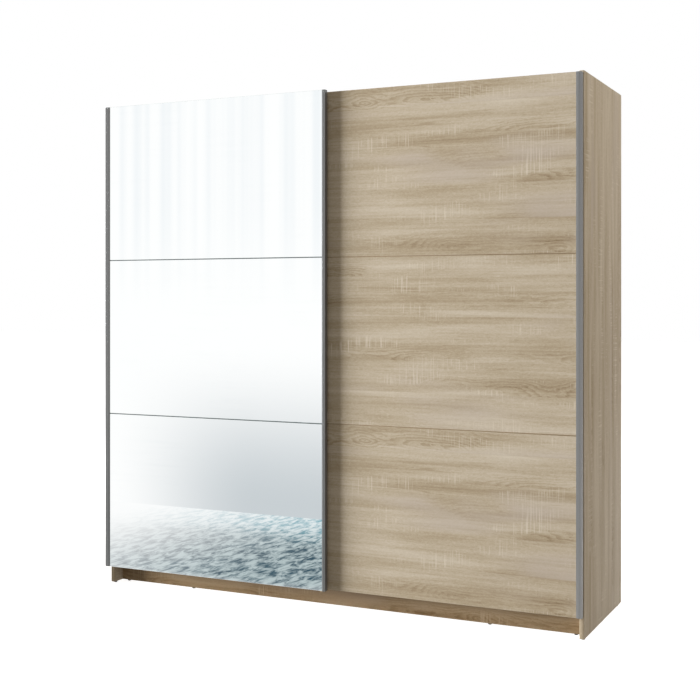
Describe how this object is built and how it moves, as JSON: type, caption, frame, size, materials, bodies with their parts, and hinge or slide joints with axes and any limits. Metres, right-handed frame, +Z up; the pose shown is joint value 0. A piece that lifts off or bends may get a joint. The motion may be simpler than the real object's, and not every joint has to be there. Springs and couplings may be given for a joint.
{
  "type": "sliding door wardrobe",
  "caption": "Sliding door wardrobe with a mirrored front door overlapping an oak laminate door, grey edge grips and a recessed plinth",
  "frame": {"origin": "on the floor, at the middle of the width and of the whole depth, doors included", "axes": "+X to the right seen from the front, +Y from the doors to the back, +Z up"},
  "size_m": [2.124, 0.656, 2.1],
  "materials": {
    "oak_laminate": "light sonoma oak print with a fine matte grain",
    "mirror_glass": "silvered clear glass, polished",
    "grey_aluminium": "satin grey anodised",
    "white_hdf": "white lacquered hardboard",
    "zinc_steel": "zinc plated",
    "chrome_steel": "polished chrome",
    "black_plastic": "moulded, matte",
    "brown_plastic": "extruded, matte",
    "beech": "plain turned beech"
  },
  "bodies": {
    "carcase": {"side_left": "oak_laminate", "side_right": "oak_laminate", "top_panel": "oak_laminate", "bottom_panel": "oak_laminate", "centre_partition": "oak_laminate", "plinth_front": "oak_laminate", "plinth_rear": "oak_laminate", "plinth_braces": "oak_laminate", "back_panels_upper": "white_hdf", "back_panels_lower": "white_hdf", "back_joint_strips": "white_hdf", "back_nails": "zinc_steel", "hat_shelf_left": "oak_laminate", "hat_shelf_right": "oak_laminate", "shelf_right_1": "oak_laminate", "shelf_right_2": "oak_laminate", "shelf_right_3": "oak_laminate", "shelf_right_4": "oak_laminate", "shelf_pins": "zinc_steel", "hanging_rail": "chrome_steel", "hanging_rail_holders": "chrome_steel", "cam_locks": "zinc_steel", "cam_bolts": "zinc_steel", "dowels": "beech", "floor_glides": "black_plastic", "top_rail": "grey_aluminium", "top_rail_screws": "zinc_steel", "track_stops": "black_plastic", "floor_guide": "brown_plastic", "floor_guide_screws": "zinc_steel", "wall_brackets": "zinc_steel"},
    "mirror_door": {"mirror_board_top": "white_hdf", "mirror_board_middle": "white_hdf", "mirror_board_bottom": "white_hdf", "mirror_pane_top": "mirror_glass", "mirror_pane_middle": "mirror_glass", "mirror_pane_bottom": "mirror_glass", "mirror_grip_left": "grey_aluminium", "mirror_grip_right": "grey_aluminium", "mirror_joint_strips": "grey_aluminium", "mirror_hanger_left": "zinc_steel", "mirror_hanger_right": "zinc_steel", "mirror_hanger_screws": "zinc_steel", "mirror_axles": "zinc_steel", "mirror_groove_liner": "black_plastic"},
    "oak_door": {"oak_panel_top": "oak_laminate", "oak_panel_middle": "oak_laminate", "oak_panel_bottom": "oak_laminate", "oak_grip_left": "grey_aluminium", "oak_grip_right": "grey_aluminium", "oak_joint_strips": "brown_plastic", "oak_hanger_left": "zinc_steel", "oak_hanger_right": "zinc_steel", "oak_hanger_screws": "zinc_steel", "oak_axles": "zinc_steel", "oak_groove_liner": "black_plastic"},
    "mirror_roller_left_wheel": {"mirror_roller_left": "black_plastic"},
    "mirror_roller_right_wheel": {"mirror_roller_right": "black_plastic"},
    "oak_roller_left_wheel": {"oak_roller_left": "black_plastic"},
    "oak_roller_right_wheel": {"oak_roller_right": "black_plastic"}
  },
  "joints": [
    {"name": "mirror_door_slide", "type": "slide", "parent": "carcase", "child": "mirror_door", "axis": [1, 0, 0], "range_m": [0, 1.039]},
    {"name": "oak_door_slide", "type": "slide", "parent": "carcase", "child": "oak_door", "axis": [1, 0, 0], "range_m": [-1.039, 0]},
    {"name": "mirror_roller_left_spin", "type": "hinge", "parent": "mirror_door", "child": "mirror_roller_left_wheel", "pos_m": [-0.969, -0.249, 2.0735], "axis": [0, 1, 0], "continuous": true},
    {"name": "mirror_roller_right_spin", "type": "hinge", "parent": "mirror_door", "child": "mirror_roller_right_wheel", "pos_m": [-0.07, -0.249, 2.0735], "axis": [0, 1, 0], "continuous": true},
    {"name": "oak_roller_left_spin", "type": "hinge", "parent": "oak_door", "child": "oak_roller_left_wheel", "pos_m": [0.07, -0.267, 2.0735], "axis": [0, 1, 0], "continuous": true},
    {"name": "oak_roller_right_spin", "type": "hinge", "parent": "oak_door", "child": "oak_roller_right_wheel", "pos_m": [0.969, -0.267, 2.0735], "axis": [0, 1, 0], "continuous": true}
  ],
  "couplings": [
    {"joint": "mirror_roller_left_spin", "follows": "mirror_door_slide", "rad_per_m": 86.957},
    {"joint": "mirror_roller_right_spin", "follows": "mirror_door_slide", "rad_per_m": 86.957},
    {"joint": "oak_roller_left_spin", "follows": "oak_door_slide", "rad_per_m": 86.957},
    {"joint": "oak_roller_right_spin", "follows": "oak_door_slide", "rad_per_m": 86.957}
  ]
}
